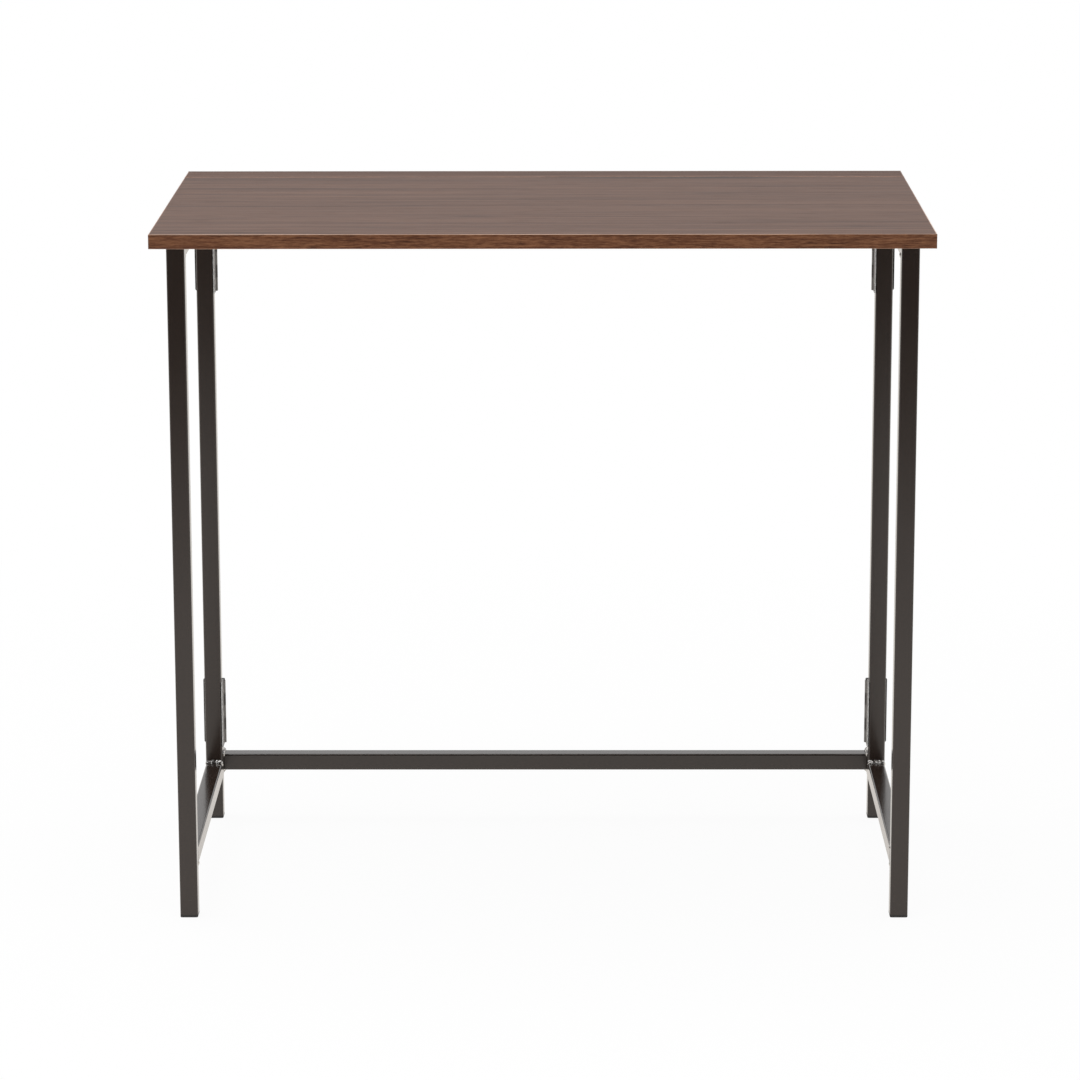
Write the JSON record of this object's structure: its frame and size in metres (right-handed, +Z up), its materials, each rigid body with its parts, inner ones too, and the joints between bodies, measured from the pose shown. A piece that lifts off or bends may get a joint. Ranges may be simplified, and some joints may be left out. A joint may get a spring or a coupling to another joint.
{
  "type": "gateleg table",
  "caption": "Folding gateleg table: wood-look top in a fixed rear strip and a hinged leaf, on a dark square-tube steel frame whose side gates swing in under the top.",
  "frame": {"origin": "on the floor, under the middle of the top", "axes": "+Z up, +X along the long side of the top, the front edge of the leaf at -Y"},
  "size_m": [0.8, 0.47, 0.75],
  "materials": {
    "top_laminate": "satin wood-grain laminate on board",
    "edge_band": "satin wood-grain edge band",
    "frame_coat": "semi-gloss dark powder coat",
    "hinge_coat": "semi-gloss dark coat on rolled steel",
    "pin_steel": "dark worn steel",
    "screw_steel": "zinc-plated steel",
    "foot_plastic": "moulded black plastic",
    "pad_rubber": "moulded black rubber"
  },
  "bodies": {
    "rear_frame": {"fixed_hinge_screws": "screw_steel", "leaf_hinge_pin_left": "pin_steel", "leaf_hinge_pin_right": "pin_steel", "left_fixed_hinge_leaf_lower": "hinge_coat", "left_fixed_hinge_leaf_upper": "hinge_coat", "left_gate_hinge_pin_lower": "pin_steel", "left_gate_hinge_pin_upper": "pin_steel", "rear_crossbar": "frame_coat", "rear_foot_left": "foot_plastic", "rear_foot_right": "foot_plastic", "rear_post_left": "frame_coat", "rear_post_right": "frame_coat", "rear_top_rail": "frame_coat", "right_fixed_hinge_leaf_lower": "hinge_coat", "right_fixed_hinge_leaf_upper": "hinge_coat", "right_gate_hinge_pin_lower": "pin_steel", "right_gate_hinge_pin_upper": "pin_steel", "strip_band_front": "edge_band", "strip_band_left": "edge_band", "strip_band_rear": "edge_band", "strip_band_right": "edge_band", "strip_board": "top_laminate", "strip_hinge_leaf_left": "hinge_coat", "strip_hinge_leaf_right": "hinge_coat", "strip_hinge_screws": "screw_steel", "strip_screws": "screw_steel"},
    "left_gate": {"left_front_foot": "foot_plastic", "left_front_leg": "frame_coat", "left_gate_post": "frame_coat", "left_hinge_screws": "screw_steel", "left_lower_rail": "frame_coat", "left_moving_hinge_leaf_lower": "hinge_coat", "left_moving_hinge_leaf_upper": "hinge_coat", "left_rest_pad": "pad_rubber", "left_top_rail": "frame_coat"},
    "right_gate": {"right_front_foot": "foot_plastic", "right_front_leg": "frame_coat", "right_gate_post": "frame_coat", "right_hinge_screws": "screw_steel", "right_lower_rail": "frame_coat", "right_moving_hinge_leaf_lower": "hinge_coat", "right_moving_hinge_leaf_upper": "hinge_coat", "right_rest_pad": "pad_rubber", "right_top_rail": "frame_coat"},
    "leaf": {"leaf_band_front": "edge_band", "leaf_band_left": "edge_band", "leaf_band_rear": "edge_band", "leaf_band_right": "edge_band", "leaf_board": "top_laminate", "leaf_hinge_leaf_left": "hinge_coat", "leaf_hinge_leaf_right": "hinge_coat", "leaf_hinge_screws": "screw_steel"}
  },
  "joints": [
    {"name": "left_gate_swing", "type": "hinge", "parent": "rear_frame", "child": "left_gate", "pos_m": [-0.3698, 0.2093, 0.1], "axis": [0, 0, 1], "range_deg": [0, 90]},
    {"name": "right_gate_swing", "type": "hinge", "parent": "rear_frame", "child": "right_gate", "pos_m": [0.3698, 0.2093, 0.1], "axis": [0, 0, -1], "range_deg": [0, 90]},
    {"name": "leaf_lift", "type": "hinge", "parent": "rear_frame", "child": "leaf", "pos_m": [0, 0.1871, 0.735], "axis": [-1, 0, 0], "range_deg": [0, 4]}
  ]
}
